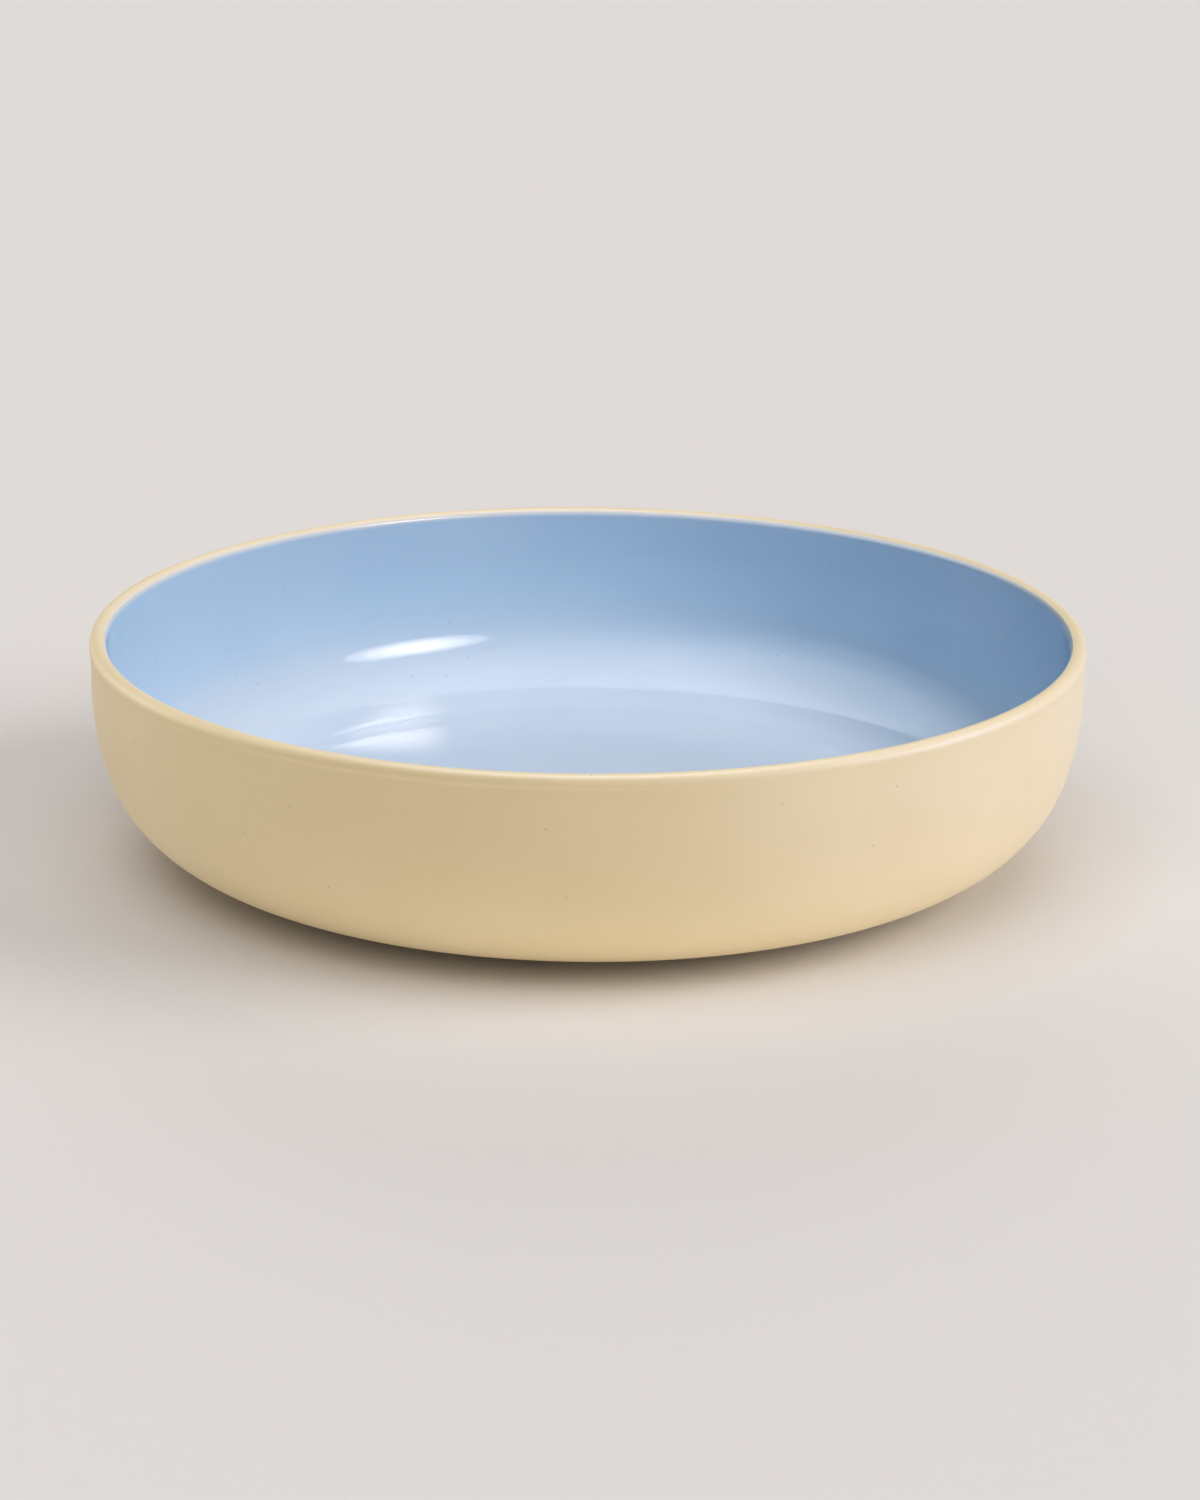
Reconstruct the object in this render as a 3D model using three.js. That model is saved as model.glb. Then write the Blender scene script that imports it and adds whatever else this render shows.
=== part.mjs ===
// A low, wide serving bowl in stoneware, turned about the Z axis and standing on Z = 0.
// A clay shell stands on a clay foot ring. Cream glaze covers the outside and wraps over the lip,
// blue glaze lines the inside, and more cream glaze fills the recess inside the foot ring.
// Lengths are in millimetres, angles in degrees, and +Z is up.
import * as THREE from "three";

// Overall sizes, over the glaze
const OUTER_DIAMETER = 300;
const BOWL_HEIGHT = 70;

// Wall and lip: the lip is a half-round bead, a little proud of the wall, with a small hollow under it
const WALL_THICKNESS = 4.8; // over both glazes
const LIP_PROUD = 0.4;
const LIP_HOLLOW_RADIUS = 4;

// Bend from the wall to the base: a wide curve first, then a tighter one round the belly
const BEND_DEPTH = 14; // from the top of the lip to where the wall starts to bend
const WALL_BEND_RADIUS = 84.4;
const WALL_BEND_ANGLE = 16.7;
const FLOOR_THICKNESS = 6; // over both glazes

// Foot ring: its height is the bare stretch, the glazed stretch and the round of glaze above them
const FOOT_INSET = 19; // from the start of the belly's curve in to the foot
const FOOT_WIDTH = 7;
const FOOT_DRAFT = 8; // lean of each flank
const FOOT_CHAMFER = 0.8;
const BARE_FLANK_HEIGHT = 1.8;
const GLAZED_FLANK_HEIGHT = 1.4;
const POOL_RADIUS = 1.2; // glaze gathered in the corner of foot and base

// Glaze coats
const CREAM_THICKNESS = 0.5;
const BLUE_THICKNESS = 0.5;
const SEAM_ANGLE = 37; // from the top of the lip, inward, to where the blue glaze begins
const COAT_CLEARANCE = 0.05; // kept between a coat and what it covers or meets

// Number of flats that stand for each round
const TURN_SEGMENTS = 64;
const LIP_SIDE_STEPS = 3;
const LIP_EDGE_STEPS = 2;
const HOLLOW_STEPS = 2;
const WALL_STEPS = 3;
const BELLY_STEPS = 6;
const POOL_STEPS = 2;

const OUTWARD = 1;
const INWARD = -1;
const SAME_POINT = 1e-6;
const radians = THREE.MathUtils.degToRad;

// A point of the half section: distance from the axis, then height.
function point(radius, height) {
  return new THREE.Vector2(radius, height);
}

// Points along an arc of the half section, both ends included.
function arc(centre, radius, fromAngle, toAngle, steps) {
  return Array.from({ length: steps + 1 }, (_, step) => {
    const angle = radians(fromAngle + ((toAngle - fromAngle) * step) / steps);
    return point(centre.x + radius * Math.cos(angle), centre.y + radius * Math.sin(angle));
  });
}

// Joins stretches of the half section into one line, without the points that repeat where they meet.
function joined(...stretches) {
  const line = stretches.flat();
  return line.filter((here, i) => i === 0 || here.distanceTo(line[i - 1]) > SAME_POINT);
}

// Levels of the base and the floor, over the glaze, and of the clay where the foot ring joins it
const baseLevel = BARE_FLANK_HEIGHT + GLAZED_FLANK_HEIGHT + POOL_RADIUS;
const floorLevel = baseLevel + FLOOR_THICKNESS;
const clayBaseLevel = baseLevel + CREAM_THICKNESS + COAT_CLEARANCE;

// Lip and the hollow under it, each touching the next without a corner
const wallRadius = OUTER_DIAMETER / 2 - LIP_PROUD;
const lipRadius = (WALL_THICKNESS + LIP_PROUD) / 2;
const innerLipRadius = lipRadius - CREAM_THICKNESS + BLUE_THICKNESS;
const lipCentre = point(OUTER_DIAMETER / 2 - lipRadius, BOWL_HEIGHT - lipRadius);
const lipToHollow = lipRadius + LIP_HOLLOW_RADIUS;
const hollowAngle = THREE.MathUtils.radToDeg(Math.acos(1 - LIP_PROUD / lipToHollow));
const hollowCentre = point(
  wallRadius + LIP_HOLLOW_RADIUS,
  lipCentre.y - lipToHollow * Math.sin(radians(hollowAngle)),
);
const seamAngle = 90 + SEAM_ANGLE;
const seamClearanceAngle = THREE.MathUtils.radToDeg(COAT_CLEARANCE / lipRadius);

// Outside and inside share the centre of the wall's wide curve.
const wallCentre = point(wallRadius - WALL_BEND_RADIUS, BOWL_HEIGHT - BEND_DEPTH);
const outerBend = bendToLevel(WALL_BEND_RADIUS, baseLevel);
const innerBend = bendToLevel(lipCentre.x - innerLipRadius - wallCentre.x, floorLevel);

// The wall's wide curve, and the belly's curve that carries on from it and ends flat at a level.
function bendToLevel(wallCurve, level) {
  const across = Math.cos(radians(WALL_BEND_ANGLE));
  const down = Math.sin(radians(WALL_BEND_ANGLE));
  const bellyCurve = (wallCentre.y - level - wallCurve * down) / (1 - down);
  const bellyCentre = point(
    wallCentre.x + (wallCurve - bellyCurve) * across,
    wallCentre.y - (wallCurve - bellyCurve) * down,
  );
  return { wallCurve, bellyCurve, bellyCentre };
}

// The outside from the flat base up to the seam on the lip, sunk below the glaze's surface by a depth.
function outsideLine(depth) {
  const { wallCurve, bellyCurve, bellyCentre } = outerBend;
  return joined(
    arc(bellyCentre, bellyCurve - depth, -90, -WALL_BEND_ANGLE, BELLY_STEPS),
    arc(wallCentre, wallCurve - depth, -WALL_BEND_ANGLE, 0, WALL_STEPS),
    arc(hollowCentre, LIP_HOLLOW_RADIUS + depth, 180, 180 - hollowAngle, HOLLOW_STEPS),
    arc(lipCentre, lipRadius - depth, -hollowAngle, 0, 1),
    arc(lipCentre, lipRadius - depth, 0, 90, LIP_SIDE_STEPS),
    arc(lipCentre, lipRadius - depth, 90, seamAngle, LIP_EDGE_STEPS),
  );
}

// The inside from the seam on the lip down to the middle of the floor, sunk below the glaze's surface.
function insideLine(depth, startAngle) {
  const { wallCurve, bellyCurve, bellyCentre } = innerBend;
  return joined(
    arc(lipCentre, innerLipRadius - depth, startAngle, 180, LIP_EDGE_STEPS),
    arc(wallCentre, wallCurve + depth, 0, -WALL_BEND_ANGLE, WALL_STEPS),
    arc(bellyCentre, bellyCurve + depth, -WALL_BEND_ANGLE, -90, BELLY_STEPS),
    [point(0, floorLevel - depth)],
  );
}

// Distance from the axis to a flank of the foot ring, or to a face that keeps a distance off it.
function flankRadius(side, height, distance = 0) {
  const outerRadius = outerBend.bellyCentre.x - FOOT_INSET;
  const tableRadius = side === OUTWARD ? outerRadius : outerRadius - FOOT_WIDTH;
  const lean = radians(FOOT_DRAFT);
  return tableRadius + side * (height * Math.tan(lean) + distance / Math.cos(lean));
}

// The glazed round from the base down to a flank, then on to the edge of the bare clay.
function pooledGlaze(side) {
  const distance = COAT_CLEARANCE + CREAM_THICKNESS;
  const height = baseLevel - POOL_RADIUS;
  const centre = point(flankRadius(side, height, distance + POOL_RADIUS), height);
  const flankAngle = side === OUTWARD ? 180 - FOOT_DRAFT : FOOT_DRAFT;
  return [
    ...arc(centre, POOL_RADIUS, 90, flankAngle, POOL_STEPS),
    point(flankRadius(side, BARE_FLANK_HEIGHT, distance), BARE_FLANK_HEIGHT),
  ];
}

// The back of that glaze: up the flank from the edge of the bare clay, into the corner under the base.
function backOfPooledGlaze(side) {
  const corner = baseLevel + CREAM_THICKNESS;
  return [BARE_FLANK_HEIGHT, corner].map((height) =>
    point(flankRadius(side, height, COAT_CLEARANCE), height),
  );
}

function bareClay() {
  return new THREE.MeshStandardMaterial({ color: "#cbb594", roughness: 0.85, metalness: 0 });
}

function creamGlaze() {
  return new THREE.MeshStandardMaterial({ color: "#dcc9a8", roughness: 0.42, metalness: 0 });
}

function blueGlaze() {
  return new THREE.MeshStandardMaterial({ color: "#a9c2de", roughness: 0.14, metalness: 0 });
}

// Turns an outline of the half section about the Z axis into a named piece.
function turnedPiece(name, outline, material) {
  const geometry = new THREE.LatheGeometry(outline, TURN_SEGMENTS);
  geometry.rotateX(Math.PI / 2);
  const piece = new THREE.Mesh(geometry, material);
  piece.name = name;
  return piece;
}

function closed(outline) {
  return [...outline, outline[0]];
}

// The fired clay shell: wall, lip, belly and floor.
function stonewareBody() {
  const outline = joined(
    [point(0, clayBaseLevel)],
    outsideLine(CREAM_THICKNESS + COAT_CLEARANCE),
    insideLine(BLUE_THICKNESS + COAT_CLEARANCE, seamAngle),
  );
  return turnedPiece("stoneware_body", outline, bareClay());
}

// The clay ring that the bowl stands on, joined flat to the underside of the shell.
function footRing() {
  const edge = (side) => [
    point(flankRadius(side, 0) - side * FOOT_CHAMFER, 0),
    point(flankRadius(side, FOOT_CHAMFER), FOOT_CHAMFER),
    point(flankRadius(side, clayBaseLevel), clayBaseLevel),
  ];
  const outline = [...edge(OUTWARD), ...edge(INWARD).reverse()];
  return turnedPiece("foot_ring", closed(outline), bareClay());
}

// Cream glaze from the bare edge of the foot, up the belly and wall and over the lip.
function outerGlaze() {
  const outline = joined(
    pooledGlaze(OUTWARD).reverse(),
    outsideLine(0),
    outsideLine(CREAM_THICKNESS).reverse(),
    backOfPooledGlaze(OUTWARD).reverse(),
  );
  return turnedPiece("outer_glaze", closed(outline), creamGlaze());
}

// Blue glaze from the seam on the lip down the wall and over the floor.
function innerGlaze() {
  const startAngle = seamAngle + seamClearanceAngle;
  const outline = joined(
    insideLine(BLUE_THICKNESS, startAngle).reverse(),
    insideLine(0, startAngle),
  );
  return turnedPiece("inner_glaze", outline, blueGlaze());
}

// Cream glaze on the underside, within the foot ring.
function baseGlaze() {
  const outline = joined(
    [point(0, baseLevel)],
    pooledGlaze(INWARD),
    backOfPooledGlaze(INWARD),
    [point(0, baseLevel + CREAM_THICKNESS)],
  );
  return turnedPiece("base_glaze", outline, creamGlaze());
}

const bowl = new THREE.Group();
bowl.name = "serving_bowl";
bowl.add(stonewareBody(), footRing(), outerGlaze(), innerGlaze(), baseGlaze());

export default bowl;
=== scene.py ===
# %% [markdown]
# # A low stoneware serving bowl
# The bowl is turned clay with a cream satin glaze outside and a blue gloss glaze inside. The packed
# solids give every size and place, so they are loaded first and never moved. Each one is then covered
# by a finer mesh, because a fired bowl is a smooth round and the solids are cut into flats.

# %% Load the solids and keep their box
import math

import bmesh
import bpy
import numpy as np
from mathutils import Matrix, Vector, noise


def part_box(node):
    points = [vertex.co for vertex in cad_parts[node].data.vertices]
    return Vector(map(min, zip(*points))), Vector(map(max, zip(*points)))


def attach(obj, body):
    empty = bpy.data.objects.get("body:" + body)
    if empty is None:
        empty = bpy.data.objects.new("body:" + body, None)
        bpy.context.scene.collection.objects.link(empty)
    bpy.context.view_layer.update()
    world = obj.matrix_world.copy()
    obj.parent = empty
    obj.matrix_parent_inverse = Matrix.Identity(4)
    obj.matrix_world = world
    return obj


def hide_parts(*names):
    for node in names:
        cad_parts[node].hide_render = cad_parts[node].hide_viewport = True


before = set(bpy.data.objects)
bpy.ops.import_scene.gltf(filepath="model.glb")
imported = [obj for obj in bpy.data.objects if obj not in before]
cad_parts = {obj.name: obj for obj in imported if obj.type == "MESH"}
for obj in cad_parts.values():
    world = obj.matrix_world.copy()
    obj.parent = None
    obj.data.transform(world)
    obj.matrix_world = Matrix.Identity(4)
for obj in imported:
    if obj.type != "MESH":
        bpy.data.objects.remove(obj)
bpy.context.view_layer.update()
print("solids:", sorted(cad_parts))

# %% [markdown]
# ## Sizes
# A potter thinks of a bowl as a half section: a line that is spun about the upright axis. The overall
# sizes and levels are read from the solids. The radii of the lip, wall and belly can't be read from a
# box, so they are written here once, in millimetres.

# %% Levels and radii, read from the solids
MM = 0.001
COAT = 0.5 * MM  # thickness of each glaze
SKIN = 0.05 * MM  # kept between a glaze and the clay behind it

rim_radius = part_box("outer_glaze")[1].x
bowl_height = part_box("outer_glaze")[1].z
bare_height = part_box("outer_glaze")[0].z
floor_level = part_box("inner_glaze")[0].z + COAT
clay_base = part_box("stoneware_body")[0].z
base_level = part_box("base_glaze")[1].z - COAT
foot_top_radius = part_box("foot_ring")[1].x
print(f"rim {rim_radius / MM:.1f} mm, height {bowl_height / MM:.1f} mm, floor at {floor_level / MM:.1f} mm")

# %% Rounds of the lip, wall, belly and foot
WALL_THICKNESS = 4.8 * MM
LIP_PROUD = 0.4 * MM  # the lip's bead stands this far out of the wall
HOLLOW_RADIUS = 4.0 * MM  # the soft hollow under the bead
BEND_DEPTH = 14.0 * MM  # from the top of the lip to where the wall starts to bend
WALL_BEND_RADIUS = 84.4 * MM
WALL_BEND_ANGLE = 16.7  # degrees
SEAM_ANGLE = 127.0  # degrees round the lip, where the cream ends and the blue begins
FOOT_WIDTH = 7.0 * MM
FOOT_LEAN = math.radians(8.0)
FOOT_EDGE = 0.8 * MM  # rounding where the foot meets the table
POOL_RADIUS = 1.2 * MM  # glaze gathered in the corner of foot and base

lip_radius = (WALL_THICKNESS + LIP_PROUD) / 2
lip_centre = (rim_radius - lip_radius, bowl_height - lip_radius)
wall_radius = rim_radius - LIP_PROUD
hollow_reach = lip_radius + HOLLOW_RADIUS
hollow_angle = math.degrees(math.acos(1 - LIP_PROUD / hollow_reach))
hollow_drop = hollow_reach * math.sin(math.radians(hollow_angle))
hollow_centre = (wall_radius + HOLLOW_RADIUS, lip_centre[1] - hollow_drop)
wall_centre = (wall_radius - WALL_BEND_RADIUS, bowl_height - BEND_DEPTH)


def belly_of(wall_curve, level):
    """The round that carries on from the wall's curve and ends flat at a level: its radius and centre."""
    over = math.cos(math.radians(WALL_BEND_ANGLE))
    down = math.sin(math.radians(WALL_BEND_ANGLE))
    radius = (wall_centre[1] - level - wall_curve * down) / (1 - down)
    centre = (wall_centre[0] + (wall_curve - radius) * over, wall_centre[1] - (wall_curve - radius) * down)
    return radius, centre


inner_wall_curve = lip_centre[0] - lip_radius - wall_centre[0]
outer_belly = belly_of(WALL_BEND_RADIUS, base_level)
inner_belly = belly_of(inner_wall_curve, floor_level)
print(f"belly radius {outer_belly[0] / MM:.1f} mm outside and {inner_belly[0] / MM:.1f} mm inside")

# %% [markdown]
# ## The half section
# Every surface of the bowl is a chain of arcs that touch without a corner. Sinking the same chain by the
# thickness of a coat gives the back of the glaze, and a little more gives the clay. So one function for the
# outside and one for the inside serve all five pieces. A curve object with a bevel could draw the same
# line, but plain numbers let every coat follow the clay exactly.

# %% Arcs, straights and chains
def arc(centre, radius, start, end, steps):
    """Points of the half section along a round, both ends included, as radius and height."""
    angles = np.radians(np.linspace(start, end, steps + 1))
    return np.column_stack((centre[0] + radius * np.cos(angles), centre[1] + radius * np.sin(angles)))


def straight(start, end, steps):
    """Points along a straight stretch, both ends included."""
    return np.linspace(start, end, steps + 1)


def chain(*stretches):
    """Joins stretches that each start where the last one ended."""
    return np.vstack([stretches[0]] + [stretch[1:] for stretch in stretches[1:]])


quarter_lip = arc((0, 0), lip_radius / MM, 0, 90, 3)
print("a quarter of the lip's round in three steps, in millimetres:", quarter_lip.round(2).tolist())

# %% The outside and inside lines
BELLY_CUTS, WALL_CUTS, HOLLOW_CUTS, LIP_CUTS = 12, 6, 2, 6  # steps along each stretch at its coarsest
EDGE_CUTS, COLLAR_CUTS, FLOOR_CUTS = 3, 3, 9
HIDDEN, SHOWN = 2, 4  # how many times finer a hidden line and a shown line are cut


def outside(depth, seam, fine):
    """From the flat base up the belly, the wall and over the lip to the seam, sunk below the glaze."""
    radius, centre = outer_belly
    return chain(
        arc(centre, radius - depth, -90, -WALL_BEND_ANGLE, BELLY_CUTS * fine),
        arc(wall_centre, WALL_BEND_RADIUS - depth, -WALL_BEND_ANGLE, 0, WALL_CUTS * fine),
        arc(hollow_centre, HOLLOW_RADIUS + depth, 180, 180 - hollow_angle, HOLLOW_CUTS * fine),
        arc(lip_centre, lip_radius - depth, -hollow_angle, seam, LIP_CUTS * fine),
    )


def inside(depth, seam, fine):
    """From the seam over the inner edge of the lip, down the wall and across the floor to the axis."""
    radius, centre = inner_belly
    collar = wall_centre[0] + inner_wall_curve + depth
    return chain(
        arc(lip_centre, lip_radius - depth, seam, 180, EDGE_CUTS * fine),
        straight((collar, lip_centre[1]), (collar, wall_centre[1]), COLLAR_CUTS * fine),
        arc(wall_centre, inner_wall_curve + depth, 0, -WALL_BEND_ANGLE, WALL_CUTS * fine),
        arc(centre, radius + depth, -WALL_BEND_ANGLE, -90, BELLY_CUTS * fine),
        straight((centre[0], floor_level - depth), (0, floor_level - depth), FLOOR_CUTS * fine),
    )


print("points on the outside line:", len(outside(0, SEAM_ANGLE, SHOWN)))
print("points on the inside line:", len(inside(0, SEAM_ANGLE, SHOWN)))

# %% [markdown]
# ## The seam
# The two glazes were dipped by hand, so the line where they meet wanders a little up and down the lip as it
# goes round, and the dip was out of level. Noise that is read along a circle joins up with itself, so the
# seam has no step where the turn ends.

# %% Where the seam lies
SEAM_WANDER = 3.5  # degrees round the lip, either way
SEAM_LEAN = 8.0  # degrees that the dip was out of level: the cream reaches further in on the left
WANDER_FINENESS, WANDER_LAYER = 3, 0.5
RIPPLE_FINENESS, RIPPLE_LAYER = 14, 2.5
RIPPLE_SHARE = 0.5  # of the wander
FAR_FROM_SEAM = 100.0  # millimetres, for points that no glaze edge is near


def noise_round(turn, fineness, layer):
    """Smooth noise along a circle; a larger circle gives finer noise."""
    return noise.noise(Vector((fineness * math.cos(turn), fineness * math.sin(turn), layer)))


def seam_at(turn):
    """Where the seam lies round the lip, in degrees, at a turn about the axis."""
    wander = noise_round(turn, WANDER_FINENESS, WANDER_LAYER)
    ripple = noise_round(turn, RIPPLE_FINENESS, RIPPLE_LAYER)
    return SEAM_ANGLE + SEAM_LEAN * (1 - math.cos(turn)) + SEAM_WANDER * (wander + RIPPLE_SHARE * ripple)


print(f"seam at {seam_at(0):.1f} degrees on the right and {seam_at(math.pi):.1f} on the left")

# %% [markdown]
# ## The potter's hand
# A turned bowl is never a perfect circle: drying and firing pull it by a tenth of a millimetre or two, most
# at the rim. The whole section leans by that amount, the same for every coat, so nothing crosses. Melted
# glaze also flows into long low swells, which bend the reflections. Both are real moves of the vertices and
# not a bump in the material, so they stay in the finished mesh.

# %% Moves that make the round less perfect
RIM_PULL = 0.12 * MM
PULL_OUT = ((2, 1.0, 0.7), (3, 0.6, 2.0))  # waves round the rim: how many, how strong, where they start
PULL_UP = ((2, 1.0, 2.6), (4, 0.5, 0.4))
SWELL_HEIGHT = 0.035 * MM
SWELL_LENGTH = 26 * MM


def waves(turn, rows):
    """The waves of a table added up, from -1 to 1."""
    total = sum(strength for count, strength, start in rows)
    return sum(strength * math.sin(count * turn + start) for count, strength, start in rows) / total


def pulled(points, turn):
    """The half section leant by the pull of drying: none at the base or on the axis, most at the rim."""
    rise = np.clip((points[:, 1] - base_level) / (bowl_height - base_level), 0, 1) ** 2
    rise *= np.clip(points[:, 0] / wall_radius, 0, 1)
    out = RIM_PULL * waves(turn, PULL_OUT)
    up = RIM_PULL * waves(turn, PULL_UP)
    return points + np.column_stack((rise * out, rise * up - rise * RIM_PULL))


def swollen(points, turn):
    """A glaze surface lifted along its normal by the low swells of the melt."""
    along = np.gradient(points, axis=0)
    normal = np.column_stack((along[:, 1], -along[:, 0]))
    normal /= np.linalg.norm(normal, axis=1)[:, None]
    spots = [Vector((r * math.cos(turn), r * math.sin(turn), z)) / SWELL_LENGTH for r, z in points]
    lift = np.array([noise.noise(spot) for spot in spots]) * SWELL_HEIGHT
    return points + normal * lift[:, None]


print(f"rim pulled by up to {RIM_PULL / MM:.2f} mm, glaze swells {SWELL_HEIGHT / MM:.3f} mm")

# %% [markdown]
# ## Spinning a section into a piece
# Blender has a Screw modifier for this, but here the section changes as it turns, so the rings are written
# out one by one and joined by faces. Points on the axis are merged into one, which closes the middle. A
# custom attribute keeps each point's distance from the seam, for the materials to blend the two glazes by.

# %% The wheel
TURN_STEPS = 320
SHARP_EDGE = math.radians(38)
MERGE_DISTANCE = 0.001 * MM


def spin(name, section, closed):
    """Makes a piece from a function that gives the section's points and their distances from the seam."""
    turns = np.linspace(0, 2 * math.pi, TURN_STEPS, endpoint=False)
    corners, distances = [], []
    for turn in turns:
        points, from_seam = section(turn)
        points = pulled(points, turn)
        corners += [(r * math.cos(turn), r * math.sin(turn), z) for r, z in points]
        distances += list(from_seam)
    count = len(corners) // TURN_STEPS
    steps = count if closed else count - 1
    faces = []
    for ring in range(TURN_STEPS):
        here, there = ring * count, (ring + 1) % TURN_STEPS * count
        for step in range(steps):
            after = (step + 1) % count
            faces.append((here + step, there + step, there + after, here + after))
    mesh = bpy.data.meshes.new(name)
    mesh.from_pydata(corners, [], faces)
    mesh.attributes.new("from_seam", "FLOAT", "POINT").data.foreach_set("value", distances)
    tidy_mesh(mesh)
    piece = bpy.data.objects.new(name, mesh)
    bpy.context.scene.collection.objects.link(piece)
    print(f"{name}: {len(mesh.vertices)} points, {len(mesh.polygons)} faces")
    return piece


def tidy_mesh(mesh):
    """Merges the points on the axis, faces everything outward and shades it smooth between sharp edges."""
    work = bmesh.new()
    work.from_mesh(mesh)
    bmesh.ops.remove_doubles(work, verts=work.verts, dist=MERGE_DISTANCE)
    bmesh.ops.recalc_face_normals(work, faces=work.faces)
    work.to_mesh(mesh)
    work.free()
    mesh.shade_smooth()
    mesh.set_sharp_from_angle(angle=SHARP_EDGE)


print("the wheel turns in", TURN_STEPS, "steps")

# %% [markdown]
# ## The foot ring
# The foot is a ring of the same clay, joined under the shell before firing. It leans in by a few degrees on
# both flanks so that it could be drawn from a mould, and its edges on the table are rubbed round. It stays
# bare where it stands, or the glaze would stick to the kiln shelf. A bevelled ring would look the same, but
# its section is needed again for the glaze that gathers on it.

# %% The foot
OUTWARD, INWARD = 1, -1
FOOT_EDGE_CUTS, FOOT_FACE_CUTS, FOOT_FLANK_CUTS = 8, 4, 6  # steps along each stretch
foot_radius = foot_top_radius - clay_base * math.tan(FOOT_LEAN)
lean_degrees = math.degrees(FOOT_LEAN)


def flank(side, height, off=0.0):
    """Distance from the axis to a flank of the foot at a height, or to a face that keeps off it."""
    at_table = foot_radius if side == OUTWARD else foot_radius - FOOT_WIDTH
    return at_table + side * (height * math.tan(FOOT_LEAN) + off / math.cos(FOOT_LEAN))


def foot_section(turn):
    """The foot's outline: standing face, rounded edges, leaning flanks and the flat joint on top."""
    outer_round = (flank(OUTWARD, FOOT_EDGE, -FOOT_EDGE), FOOT_EDGE)
    inner_round = (flank(INWARD, FOOT_EDGE, -FOOT_EDGE), FOOT_EDGE)
    outer_edge = arc(outer_round, FOOT_EDGE, -90, -lean_degrees, FOOT_EDGE_CUTS)
    inner_edge = arc(inner_round, FOOT_EDGE, 180 + lean_degrees, 270, FOOT_EDGE_CUTS)
    outer_top = (flank(OUTWARD, clay_base), clay_base)
    inner_top = (flank(INWARD, clay_base), clay_base)
    points = chain(
        straight(inner_edge[-1], outer_edge[0], FOOT_FACE_CUTS),
        outer_edge,
        straight(outer_edge[-1], outer_top, FOOT_FLANK_CUTS),
        straight(outer_top, inner_top, FOOT_FACE_CUTS),
        straight(inner_top, inner_edge[0], FOOT_FLANK_CUTS),
        inner_edge,
    )
    points = points[:-1]  # the last point is the first one again
    return points, np.full(len(points), FAR_FROM_SEAM)


foot = spin("turned_foot", foot_section, closed=True)

# %% [markdown]
# ## The clay shell
# The body of the bowl is hidden under its coats, but it is a piece in its own right: wall, lip, belly and
# floor in one turned shell. The solid could stand for it, but its flats would cut into the round coats.
# So its section is the outside line sunk by a coat, then the inside line sunk alike.

# %% The shell
BASE_CUTS = 8


def shell_section(turn):
    """The clay's outline from the axis under the base, round the lip and back to the axis on the floor."""
    depth = COAT + SKIN
    seam = seam_at(turn)
    up = outside(depth, seam, HIDDEN)
    points = chain(straight((0, clay_base), up[0], BASE_CUTS), up, inside(depth, seam, HIDDEN))
    return points, np.full(len(points), FAR_FROM_SEAM)


shell = spin("clay_shell", shell_section, closed=False)

# %% [markdown]
# ## The cream coat
# The outer glaze starts on the foot's flank, gathers in the corner under the belly, and runs up and over
# the lip to the seam. A Solidify modifier could thicken a sheet into such a coat, but then its back wouldn't
# keep an even hair off the clay. So the shown line is lifted by the swells of the melt, and the back follows
# the clay.

# %% Glaze that gathers on the foot
POOL_CUTS, BARE_CUTS = 8, 4


def pool(side):
    """The glazed round from the base down to a flank, then on to the edge of the bare clay."""
    off = SKIN + COAT
    height = base_level - POOL_RADIUS
    centre = (flank(side, height, off + POOL_RADIUS), height)
    end = 180 - lean_degrees if side == OUTWARD else lean_degrees
    drop = arc(centre, POOL_RADIUS, 90, end, POOL_CUTS)
    return chain(drop, straight(drop[-1], (flank(side, bare_height, off), bare_height), BARE_CUTS))


def pool_back(side):
    """The back of that glaze, up the flank from the bare edge into the corner under the base."""
    corner = base_level + COAT
    start = (flank(side, bare_height, SKIN), bare_height)
    return straight(start, (flank(side, corner, SKIN), corner), BARE_CUTS)


print("points on the glaze at the foot:", len(pool(OUTWARD)), "shown and", len(pool_back(OUTWARD)), "behind")

# %% Cream glaze outside
BACK_CUTS = 3


def distance_along(points, start):
    """Length along a line from one of its ends, in millimetres."""
    steps = np.linalg.norm(np.diff(points, axis=0), axis=1)
    along = np.concatenate(([0], np.cumsum(steps))) / MM
    return along if start == "first" else along[-1] - along


def cream_section(turn):
    """The coat's shown line from the bare foot to the seam, then its back the other way."""
    seam = seam_at(turn)
    belly = outside(0, seam, SHOWN)
    corner = pool(OUTWARD)[::-1]
    shown = swollen(chain(corner, straight(corner[-1], belly[0], BASE_CUTS), belly), turn)
    back = outside(COAT, seam, HIDDEN)[::-1]
    behind = pool_back(OUTWARD)[::-1]
    points = np.vstack((shown, back, straight(back[-1], behind[0], BACK_CUTS)[1:], behind[1:]))
    hidden = np.full(len(points) - len(shown), FAR_FROM_SEAM)
    return points, np.concatenate((distance_along(shown, "last"), hidden))


cream = spin("cream_coat", cream_section, closed=True)

# %% [markdown]
# ## The blue coat
# The lining is dipped or poured, so it is one unbroken sheet of glass from the seam to the middle of the
# floor. It meets the cream edge to edge, a hair apart, because two glazes melt together where they touch. It
# is spun as the cream is, and its last point is kept on the axis so that the floor closes.

# %% Blue glaze inside
SEAM_GAP = 0.25  # degrees round the lip, about a hundredth of a millimetre


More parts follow.
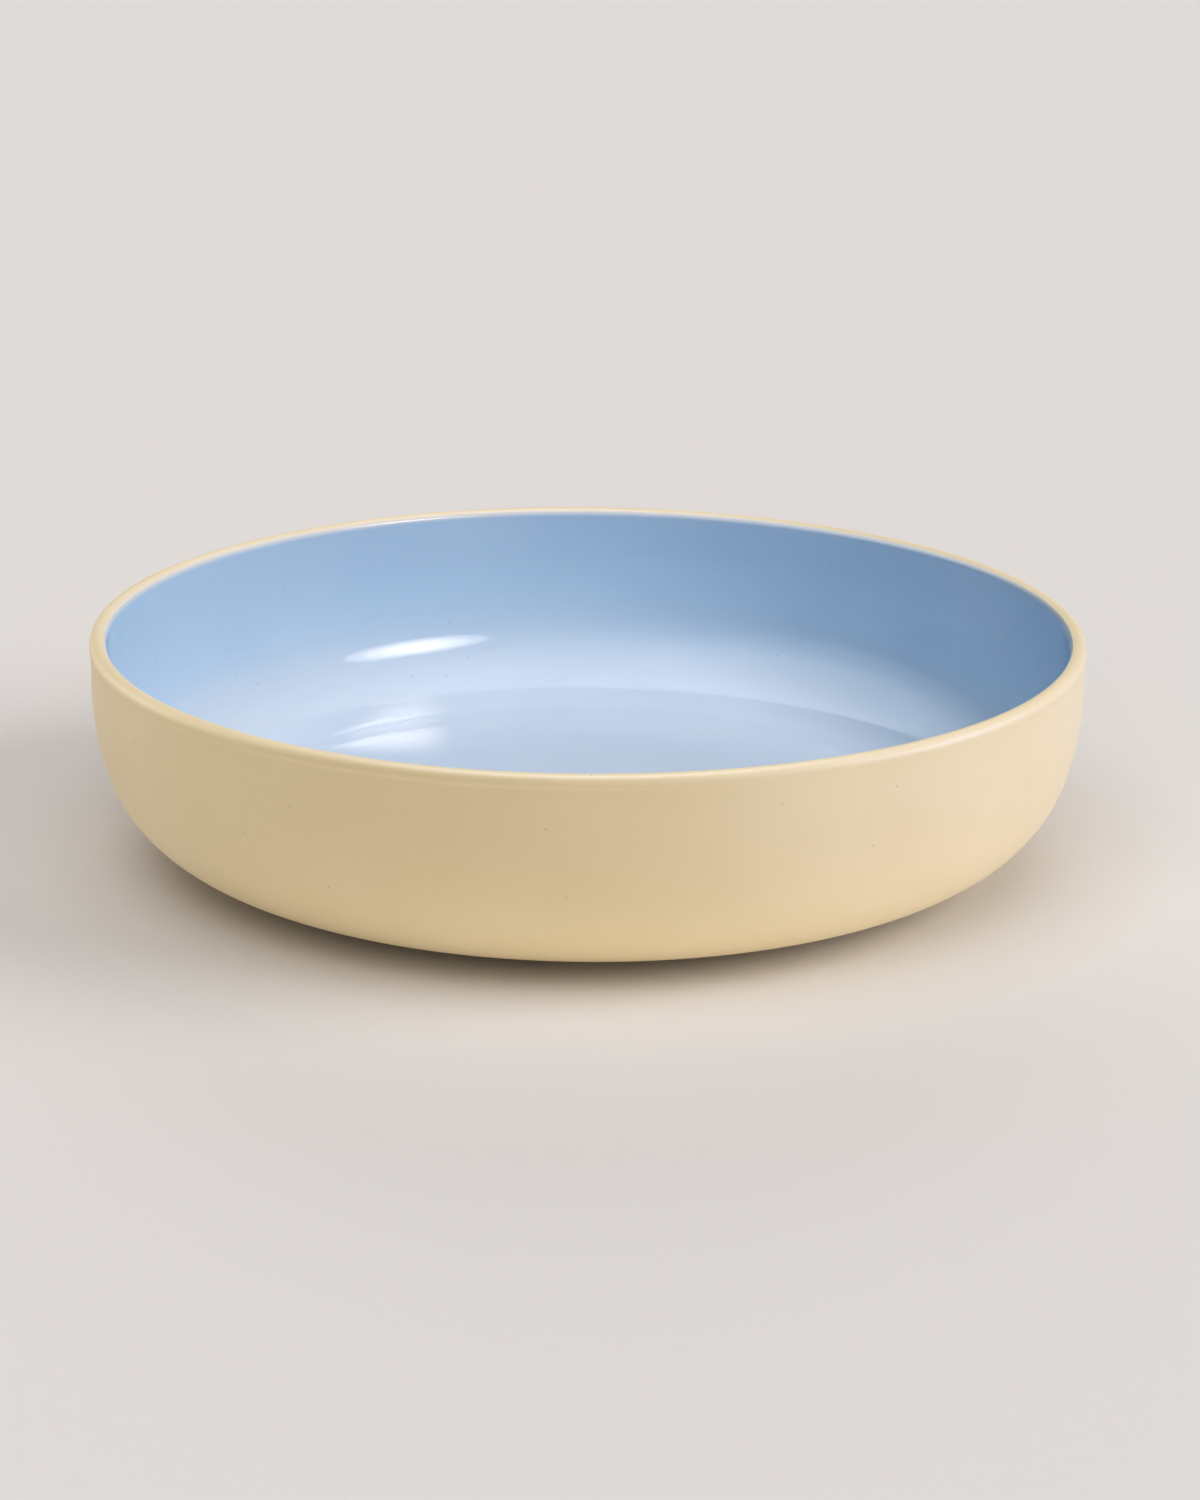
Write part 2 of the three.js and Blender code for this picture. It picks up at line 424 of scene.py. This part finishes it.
def blue_section(turn):
    """The coat's back from the axis up to the seam, then its shown line down to the axis again."""
    seam = seam_at(turn) + SEAM_GAP
    back = inside(COAT, seam, HIDDEN)[::-1]
    line = inside(0, seam, SHOWN)
    shown = swollen(line, turn)
    shown[-1] = line[-1]
    points = np.vstack((back, shown))
    hidden = np.full(len(back), FAR_FROM_SEAM)
    return points, np.concatenate((hidden, distance_along(line, "first")))


blue = spin("blue_coat", blue_section, closed=False)

# %% [markdown]
# ## The coat under the base
# The recess inside the foot is glazed in cream as well, so the underside is sealed. It is a shallow dish
# with the same gathered corner, so it takes its edge from the same two functions as the cream coat.

# %% Cream glaze under the base
RECESS_CUTS, RECESS_BACK_CUTS = 24, 12


def recess_section(turn):
    """The coat's shown line from the axis out to the foot and down its flank, then its back."""
    corner = pool(INWARD)
    shown = chain(straight((0, base_level), corner[0], RECESS_CUTS), corner)
    behind = pool_back(INWARD)
    back = straight(behind[-1], (0, base_level + COAT), RECESS_BACK_CUTS)
    points = np.vstack((shown, behind, back[1:]))
    return points, np.full(len(points), FAR_FROM_SEAM)


recess = spin("recess_coat", recess_section, closed=False)

# %% [markdown]
# ## Each piece rides on the bowl and stands for its solid
# Nothing on a bowl moves, so there is one body, named root. The solids stay for collision and are hidden.

# %% Tie the pieces to the frame
for piece, node, slot in (
    (foot, "foot_ring", "stoneware"),
    (shell, "stoneware_body", "stoneware"),
    (cream, "outer_glaze", "cream_glaze"),
    (blue, "inner_glaze", "blue_glaze"),
    (recess, "base_glaze", "cream_glaze"),
):
    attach(piece, "root")
    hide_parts(node)
    print(f"{piece.name} stands for {node} in {slot}")

# %% [markdown]
# ## A short way to write shader nodes
# A material is a small graph. The first helper adds one node, sets its options, and fills each input with
# either a plain value or another node's output, so that a finish reads like a recipe. The others are the
# things that a glaze and a clay have in common: soft patches, specks, dimples and a blend by the seam.

# %% Node helpers
def add(tree, kind, inputs=None, **options):
    """Adds a shader node; an input may be a value or an output of another node."""
    made = tree.nodes.new("ShaderNode" + kind)
    for option, value in options.items():
        setattr(made, option, value)
    for key, value in (inputs or {}).items():
        if isinstance(value, bpy.types.NodeSocket):
            tree.links.new(value, made.inputs[key])
        else:
            made.inputs[key].default_value = value
    return made


def new_finish(name):
    """A material with an empty graph but for its surface shader, and the place on the piece in metres."""
    material = bpy.data.materials.new(name)
    material.use_nodes = True
    tree = material.node_tree
    shader = tree.nodes["Principled BSDF"]
    place = add(tree, "TexCoord").outputs["Object"]
    return material, tree, shader, place


def blended(tree, share, first, second):
    """A colour that goes from the first to the second as the share goes from 0 to 1."""
    mix = add(tree, "Mix", {0: share, 6: first, 7: second}, data_type="RGBA")
    return mix.outputs[2]


print("node helpers ready")

# %% Patches, specks, dimples and the seam
NOISE_LOW, NOISE_HIGH = 0.3, 0.7  # between these lies most of Blender's noise
PATCH_DETAIL = 3.0
SPECK_CORE = 0.3  # share of a speck's radius that has its full colour


def clouds(tree, place, size, low, high):
    """Soft patches of a size in metres, as a value from low to high."""
    patches = add(tree, "TexNoise", {"Vector": place, "Scale": 1 / size, "Detail": PATCH_DETAIL})
    spread = {"Value": patches.outputs["Fac"], "From Min": NOISE_LOW, "From Max": NOISE_HIGH}
    spread.update({"To Min": low, "To Max": high})
    return add(tree, "MapRange", spread).outputs["Result"]


def mottled(tree, place, drift_size, grain_size, grain_share):
    """A share from 0 to 1 that drifts in broad patches and has a fine grain on top."""
    drift = clouds(tree, place, drift_size, 0.0, 1.0)
    grain = clouds(tree, place, grain_size, 0.0, grain_share)
    return add(tree, "Math", {0: drift, 1: grain}, operation="ADD", use_clamp=True).outputs["Value"]


def specks(tree, place, spacing, radius, share):
    """Round specks of a radius, in a share of the cells of that spacing: 1 on a speck and 0 between."""
    cells = add(tree, "TexVoronoi", {"Vector": place, "Scale": 1 / spacing})
    reach = {"Value": cells.outputs["Distance"], "From Min": radius / spacing}
    reach["From Max"] = SPECK_CORE * radius / spacing
    spot = add(tree, "MapRange", reach, interpolation_type="SMOOTHSTEP").outputs["Result"]
    lot = add(tree, "SeparateColor", {"Color": cells.outputs["Color"]}).outputs["Red"]
    chosen = add(tree, "Math", {0: lot, 1: share}, operation="LESS_THAN").outputs["Value"]
    return add(tree, "Math", {0: spot, 1: chosen}, operation="MULTIPLY").outputs["Value"]


def dimple(tree, shader, place, size, depth, strength, detail):
    """Gives a surface fine dimples of a size and a depth in metres."""
    dimples = add(tree, "TexNoise", {"Vector": place, "Scale": 1 / size, "Detail": detail}).outputs["Fac"]
    bump = add(tree, "Bump", {"Strength": strength, "Distance": depth, "Height": dimples})
    tree.links.new(bump.outputs["Normal"], shader.inputs["Normal"])


def near_seam(tree, width):
    """1 at the seam, falling to 0 at a width from it in millimetres."""
    distance = add(tree, "Attribute", attribute_name="from_seam").outputs["Fac"]
    fade = {"Value": distance, "From Min": width, "From Max": 0.0}
    return add(tree, "MapRange", fade, interpolation_type="SMOOTHSTEP").outputs["Result"]


print("glaze and clay helpers ready")

# %% [markdown]
# ## Cream satin glaze
# The outside is a satin glaze: tiny crystals make its gloss broad and pale, more so at a glancing angle. The
# colour drifts a little with the thickness of the coat, and a few iron specks from the clay show through. A
# painted picture could give the same, but noise in real sizes needs no unwrapping and has no seam.

# %% The cream finish
CREAM_THICK = (0.80, 0.632, 0.362, 1)
CREAM_THIN = (0.775, 0.60, 0.33, 1)
IRON_SPECK = (0.46, 0.33, 0.18, 1)
SEAM_TINT = (0.70, 0.66, 0.55, 1)
SATIN_VEIL = 0.7
CREAM_MOTTLE = (45 * MM, 1.6 * MM, 0.25)  # size of the drifts, size of the grain, share of the grain
IRON_SPECKS = (6.5 * MM, 0.34 * MM, 0.55)  # spacing, radius, share of the cells that have one
CREAM_GLOSS = (9 * MM, 0.42, 0.50)  # size of the patches, least and most roughness
CREAM_DIMPLES = (3.2 * MM, 0.02 * MM, 0.6, 2.0)  # size, depth, strength, detail
CREAM_SEAM_WIDTH = 0.7  # millimetres


def cream_finish():
    """Cream that drifts in tone, with iron specks, a paler line at the seam and a broad soft gloss."""
    material, tree, shader, place = new_finish("cream_satin_glaze")
    body = blended(tree, mottled(tree, place, *CREAM_MOTTLE), CREAM_THICK, CREAM_THIN)
    body = blended(tree, specks(tree, place, *IRON_SPECKS), body, IRON_SPECK)
    body = blended(tree, near_seam(tree, CREAM_SEAM_WIDTH), body, SEAM_TINT)
    tree.links.new(body, shader.inputs["Base Color"])
    tree.links.new(clouds(tree, place, *CREAM_GLOSS), shader.inputs["Roughness"])
    shader.inputs["Specular IOR Level"].default_value = SATIN_VEIL
    dimple(tree, shader, place, *CREAM_DIMPLES)
    return material


cream_satin = cream_finish()
for coat in (cream, recess):
    coat.data.materials.append(cream_satin)
print("cream satin glaze on", cream.name, "and", recess.name)

# %% [markdown]
# ## Blue gloss glaze
# The lining is a clear gloss over blue. It has run down the wall and lies thicker on the floor, where it is
# a shade milkier, and the floor's paler blue is also painted light, for the light and reflection it gets.
# Near the lip a paler band is painted: thinner glaze and a painted reflection of light on the lip's round.
# A few pinholes are left by bubbles, dark with painted shade. A clear coat over a dull base could give the
# gloss, but the shader's own low roughness is plainer and enough here.

# %% The blue finish
BLUE_DEEP = (0.365, 0.555, 0.780, 1)
BLUE_THIN = (0.388, 0.578, 0.795, 1)
# The floor's paler, less blue colour is pooled glaze and painted light, for the brighter light the floor
# gets.
LIT_POOL_DEEP = (0.440, 0.575, 0.740, 1)
LIT_POOL_THIN = (0.465, 0.598, 0.755, 1)
# Pinholes are painted dark: painted shade in holes that the mesh doesn't have.
PINHOLE_SHADE = (0.13, 0.19, 0.28, 1)
# The lip's paler band is thinner glaze and a painted reflection of light on the lip's round.
THIN_LIT_BLUE_EDGE = (0.56, 0.63, 0.69, 1)
LIT_POOL_LEVEL, WALL_LEVEL = 14 * MM, 42 * MM  # the pale floor, pooled glaze with painted light, ends between these heights
BLUE_MOTTLE = (38 * MM, 2.2 * MM, 0.2)
SHADED_PINHOLES = (6.0 * MM, 0.30 * MM, 0.5)
BLUE_GLOSS = (14 * MM, 0.060, 0.085)
BLUE_DIMPLES = (5.5 * MM, 0.012 * MM, 0.5, 1.0)
THIN_LIT_EDGE_WIDTH, BLUE_SEAM_WIDTH = 2.2, 0.4  # millimetres


def blue_finish():
    """Blue wall and paler floor, pooled glaze with painted light; pinholes in painted shade, a painted lit
    edge, clear gloss.
    """
    material, tree, shader, place = new_finish("blue_gloss_glaze")
    tone = mottled(tree, place, *BLUE_MOTTLE)
    height = add(tree, "SeparateXYZ", {"Vector": place}).outputs["Z"]
    # This share paints the floor paler: pooled glaze and painted light.
    reach = {"Value": height, "From Min": WALL_LEVEL, "From Max": LIT_POOL_LEVEL}
    pooled_and_lit = add(tree, "MapRange", reach, interpolation_type="SMOOTHSTEP").outputs["Result"]
    wall = blended(tree, tone, BLUE_DEEP, BLUE_THIN)
    body = blended(tree, pooled_and_lit, wall, blended(tree, tone, LIT_POOL_DEEP, LIT_POOL_THIN))
    # Pinholes in painted shade.
    body = blended(tree, specks(tree, place, *SHADED_PINHOLES), body, PINHOLE_SHADE)
    # A paler band along the lip: thinner glaze and painted reflection.
    body = blended(tree, near_seam(tree, THIN_LIT_EDGE_WIDTH), body, THIN_LIT_BLUE_EDGE)
    body = blended(tree, near_seam(tree, BLUE_SEAM_WIDTH), body, SEAM_TINT)
    tree.links.new(body, shader.inputs["Base Color"])
    tree.links.new(clouds(tree, place, *BLUE_GLOSS), shader.inputs["Roughness"])
    dimple(tree, shader, place, *BLUE_DIMPLES)
    return material


blue.data.materials.append(blue_finish())
print("blue gloss glaze on", blue.name)

# %% [markdown]
# ## Bare clay
# Where no glaze covers it, fired stoneware is a warm buff with fine sand in it, dry and matt to the touch.
# The sand is made by the same specks as the iron, only smaller and closer, and the clay's tooth by dimples.

# %% The clay finish
CLAY_BUFF = (0.60, 0.46, 0.30, 1)
CLAY_WARM = (0.50, 0.36, 0.22, 1)
SAND_DARK = (0.20, 0.13, 0.08, 1)
CLAY_PATCH = 12 * MM
SAND_SPECKS = (1.4 * MM, 0.22 * MM, 0.6)
CLAY_MATT = (3 * MM, 0.78, 0.9)
CLAY_TOOTH = (0.5 * MM, 0.06 * MM, 0.7, 4.0)


def clay_finish():
    """Buff clay in two tones with dark sand, matt and rough."""
    material, tree, shader, place = new_finish("bare_stoneware")
    body = blended(tree, clouds(tree, place, CLAY_PATCH, 0.0, 1.0), CLAY_BUFF, CLAY_WARM)
    body = blended(tree, specks(tree, place, *SAND_SPECKS), body, SAND_DARK)
    tree.links.new(body, shader.inputs["Base Color"])
    tree.links.new(clouds(tree, place, *CLAY_MATT), shader.inputs["Roughness"])
    dimple(tree, shader, place, *CLAY_TOOTH)
    return material


clay = clay_finish()
for part in (foot, shell):
    part.data.materials.append(clay)
print("bare clay on", foot.name, "and", shell.name)

# %% [markdown]
# ## The table
# The bowl stands on a plain pale sheet that fills the view. Its colour is what makes the background pale,
# and it keeps the bowl's shadow. A backdrop could curve up behind, but the camera looks down and meets no
# horizon, so a flat sheet is enough. White paper all round a studio sends more light back than the grey
# sheet in the picture would, so rays that come from neither the camera nor a reflection meet a lighter one.

# %% The floor
FLOOR_REACH = 30.0
FLOOR_COLOUR = (0.735, 0.698, 0.676, 1)
FLOOR_BOUNCE = (0.96, 0.97, 1.0, 1)
PAPER_ROUGHNESS, PAPER_SHEEN = 1.0, 0.0

half = FLOOR_REACH / 2
sheet = bpy.data.meshes.new("table")
sheet_corners = [(-half, -half, 0), (half, -half, 0), (half, half, 0), (-half, half, 0)]
sheet.from_pydata(sheet_corners, [], [(0, 1, 2, 3)])
table = bpy.data.objects.new("table", sheet)
bpy.context.scene.collection.objects.link(table)


def paper_finish():
    """Matt paper in its own colour where it is seen, and lighter where it only sends light back."""
    material, tree, shader, _ = new_finish("pale_paper")
    ray = add(tree, "LightPath").outputs
    seen = ray["Is Camera Ray"]
    for kind in ("Is Glossy Ray", "Is Transmission Ray"):
        seen = add(tree, "Math", {0: seen, 1: ray[kind]}, operation="ADD", use_clamp=True).outputs["Value"]
    tree.links.new(blended(tree, seen, FLOOR_BOUNCE, FLOOR_COLOUR), shader.inputs["Base Color"])
    shader.inputs["Roughness"].default_value = PAPER_ROUGHNESS
    shader.inputs["Specular IOR Level"].default_value = PAPER_SHEEN
    return material


sheet.materials.append(paper_finish())
print("table laid,", FLOOR_REACH, "m across")

# %% [markdown]
# ## Studio light
# A sun with a wide angle is a round soft lamp so far off that it lights everything alike. Each is placed by
# the direction it comes from, as a photographer would say it: so many degrees round from straight behind
# the bowl, and so many above the table. Light linking then says which things a lamp reaches, so the shadow
# on the table, the satin outside and the gloss lining can each be lit in the way that shows them best.

# %% What the lamps reach
def lit_group(name, things):
    """A collection of things that a lamp can be told to light."""
    group = bpy.data.collections.new(name)
    for thing in things:
        group.objects.link(thing)
    print(f"{name}: {[thing.name for thing in things]}")
    return group


on_table = lit_group("lit_table", [table])
on_outside = lit_group("lit_outside", [foot, shell, cream, recess])
on_lining = lit_group("lit_lining", [blue])

# %% Round lamps
WHITE = (1, 1, 1)


def hang(name, lamp, reach):
    """Puts a lamp in the scene, to light only the things that it reaches."""
    holder = bpy.data.objects.new(name, lamp)
    holder.light_linking.receiver_collection = reach
    bpy.context.scene.collection.objects.link(holder)
    return holder


def toward(azimuth, elevation):
    """A direction: azimuth 0 is behind the bowl, 90 to its right and 180 on the camera's side."""
    around, above = math.radians(azimuth), math.radians(elevation)
    flat = math.cos(above)
    return Vector((math.sin(around) * flat, math.cos(around) * flat, math.sin(above)))


def round_lamp(reach, name, azimuth, elevation, spread, level, tint=WHITE):
    """A lamp that looks a spread of degrees wide; at level 1 a sheet that faces it renders as written."""
    lamp = bpy.data.lights.new(name, "SUN")
    lamp.angle = math.radians(spread)
    lamp.energy = math.pi * level
    lamp.color = tint
    holder = hang(name, lamp, reach)
    holder.rotation_euler = toward(azimuth, elevation).to_track_quat("Z", "Y").to_euler()
    print(f"{name}: {azimuth} round, {elevation} up, {spread} wide, level {level}")
    return holder


print("straight up is", [round(part, 3) for part in toward(0, 90)])

# %% Lamps for the table: name, degrees round, degrees up, degrees wide, level
TABLE_LAMPS = (
    ("table_right", 97, 25, 45, 0.72),
    ("table_front", 195, 32, 60, 0.23),
    ("table_top", 195, 70, 60, 0.38),
    ("table_behind", 0, 12, 45, 0.46),
)
for row in TABLE_LAMPS:
    round_lamp(on_table, *row)

# %% [markdown]
# The outside has a large cool lamp on the right, a cool sheet overhead and weaker fills. Their light ends
# where it first lands. Otherwise the cream would send it on and stain the table, which has lamps of its own.

# %% Lamps for the outside: name, degrees round, degrees up, degrees wide, level, tint
COOL = (0.87, 0.99, 1.56)
SKY = (0.94, 1.0, 1.12)
STRAW = (1.08, 1.0, 0.82)
OUTSIDE_LAMPS = (
    ("outside_right", 93, 15, 48, 0.65, COOL),
    ("outside_front", 168, 8, 40, 0.21, STRAW),
    ("outside_left", 300, 15, 40, 0.30, WHITE),
    ("outside_top", 0, 84, 40, 0.76, SKY),
)
for row in OUTSIDE_LAMPS:
    round_lamp(on_outside, *row).data.cycles.max_bounces = 0

# %% [markdown]
# The lining is lit by a softbox on the right and by weaker fills. These are kept out of its gloss, which
# mirrors things of its own in the next step, so that the glints can be shaped without a change in the shade.

# %% Lamps for the lining: name, degrees round, degrees up, degrees wide, level, tint
WARM = (1.16, 1.0, 0.88)
SOFTBOX_GLOW = (1.26, 1.0, 0.85)
LINING_LAMPS = (
    ("right_softbox", 116, 52, 26, 0.64, SOFTBOX_GLOW),
    ("lining_top", 0, 90, 40, 0.08, WARM),
    ("lining_left", 270, 68, 40, 0.02, WHITE),
    ("lining_front", 180, 55, 40, 0.29, WHITE),
    ("lining_behind", 45, 15, 40, 0.27, WHITE),
)
for row in LINING_LAMPS:
    round_lamp(on_lining, *row).visible_glossy = False

# %% [markdown]
# ## What the gloss mirrors
# A glossy bowl shows its studio: the long bright face of the softbox, as the glint in the round of the
# floor, and a wide panel over it and to the left, which in a studio is a sheet of white cloth lit from
# behind. Both are area lamps that light nothing and only show in reflections. Each is built up from ovals of
# several sizes, one behind another, so its edge fades. The fainter glint on the floor is light that has
# glanced off the wall first. A lamp's own nodes can count such glances, so one set of ovals is seen only at
# the first and one only at the second. That second set stands where it puts the glint in its place, and not
# where the softbox is.

# %% Ovals that show in reflections alone
UPRIGHT = Vector((0, 0, 1))
SEEN_ONCE, SEEN_TWICE = "LESS_THAN", "GREATER_THAN"
BETWEEN_ONE_AND_TWO = 1.5
GLINT_TINT = (1.08, 0.97, 0.93)
CLOTH_TINT = (0.88, 1.0, 1.14)


def mirrored_oval(name, tint, way, distance, wide, tall, face, seen=None, facing=None):
    """An oval lamp of a size in metres, some way off in a direction, with a face that is 1 when white."""
    lamp = bpy.data.lights.new(name, "AREA")
    lamp.shape = "ELLIPSE"
    lamp.size, lamp.size_y = wide, tall
    area = math.pi * wide * tall / 4
    lamp.energy = face * math.pi * area  # a lamp's power is spread over its face and to all sides
    lamp.color = tint
    if seen:
        count_glances(lamp, seen)
    holder = hang(name, lamp, on_lining)
    holder.location = way * distance
    holder.rotation_euler = (facing or way).to_track_quat("Z", "Y").to_euler()
    holder.visible_diffuse = False
    print(f"{name}: {wide:.1f} by {tall:.1f} m, face {face:.2f}")


def count_glances(lamp, seen):
    """Shows a lamp only to light that has glanced off gloss once, or only to light that did so twice."""
    lamp.use_nodes = True
    lamp.cycles.max_bounces = 0
    tree = lamp.node_tree
    glances = add(tree, "LightPath").outputs["Glossy Depth"]
    shown = add(tree, "Math", {0: glances, 1: BETWEEN_ONE_AND_TWO}, operation=seen).outputs["Value"]
    tree.links.new(shown, tree.nodes["Emission"].inputs["Strength"])


print("first and second glances are told apart at", BETWEEN_ONE_AND_TWO)

# %% The overhead panel
PANEL_SPOTS = (  # to the right, to the back and radius, all per metre of height, and the face
    (-0.70, 0.15, 1.05, 0.48),
    (-1.50, 0.00, 2.00, 0.30),
)
PANEL_EDGES = (0.7, 1.0, 1.3)  # sizes of the ovals beside that radius
PANEL_HEIGHT, PANEL_GAP = 12.0, 0.3  # metres up, and from each oval to the next

oval_height = PANEL_HEIGHT
for right, back, radius, face in PANEL_SPOTS:
    spot = Vector((right, back, 1))
    for edge in PANEL_EDGES:
        wide = 2 * radius * edge * oval_height
        mirrored_oval("overhead_panel", CLOTH_TINT, spot, oval_height, wide, wide, face, facing=UPRIGHT)
        oval_height += PANEL_GAP

# %% The softbox, seen once and seen again: metres off, degrees wide, degrees tall
SOFTBOX_WAY, SOFTBOX_FACE = toward(128, 38), 4.0
SOFTBOX_OVALS = ((12.0, 16, 9), (12.6, 26, 13), (13.2, 36, 17))
AGAIN_WAY, AGAIN_FACE = toward(72, 66), 5.6
AGAIN_OVALS = ((16.0, 32, 7), (16.6, 48, 10), (17.2, 64, 13))


def across(distance, angle):
    """The width of a thing that fills an angle, in degrees, at a distance."""
    return 2 * distance * math.tan(math.radians(angle / 2))


for name, way, face, ovals, seen in (
    ("softbox_face", SOFTBOX_WAY, SOFTBOX_FACE, SOFTBOX_OVALS, SEEN_ONCE),
    ("softbox_again", AGAIN_WAY, AGAIN_FACE, AGAIN_OVALS, SEEN_TWICE),
):
    for distance, wide, tall in ovals:
        size = across(distance, wide), across(distance, tall)
        mirrored_oval(name, GLINT_TINT, way, distance, *size, face, seen=seen)

# %% [markdown]
# ## The studio around
# The walls of the room give a little even light, so no shadow is black. The Standard view shows a colour as
# it is lit, without a film curve, so that colours can be compared with those in the photograph.

# %% The dim studio
STUDIO_LEVEL = 0.13
world = bpy.data.worlds.new("studio")
bpy.context.scene.world = world
world.use_nodes = True
world.node_tree.nodes["Background"].inputs["Color"].default_value = (*WHITE, 1)
world.node_tree.nodes["Background"].inputs["Strength"].default_value = STUDIO_LEVEL
bpy.context.scene.view_settings.view_transform = "Standard"
print("studio level", STUDIO_LEVEL)

# %% [markdown]
# ## The camera
# The outline in the photograph fits a long lens about 1.4 m off, looking 17 degrees down, with the horizon
# half a degree out of level. A long lens keeps the rim's ellipse nearly symmetrical front to back.

# %% Place the camera
PICTURE_LONG_SIDE = 36.0  # sensor, in millimetres, along the picture's long side
LENS = 108.0
LOOK_DOWN = 17.253
ROLL = 0.520
CAMERA_PLACE = Vector((3.93, -1309.875, 437.755)) * MM
FAR_SIGHT = 60.0  # metres

eye = bpy.data.cameras.new("camera")
eye.lens = LENS
eye.sensor_width = PICTURE_LONG_SIDE
eye.sensor_fit = "AUTO"
eye.clip_end = FAR_SIGHT
camera = bpy.data.objects.new("camera", eye)
tilt_down = Matrix.Rotation(math.radians(90 - LOOK_DOWN), 4, "X")
rolled = Matrix.Rotation(math.radians(ROLL), 4, "Z")
camera.matrix_world = Matrix.Translation(CAMERA_PLACE) @ tilt_down @ rolled
bpy.context.scene.collection.objects.link(camera)
bpy.context.scene.camera = camera
print(f"camera {CAMERA_PLACE.length:.2f} m from the bowl's foot")
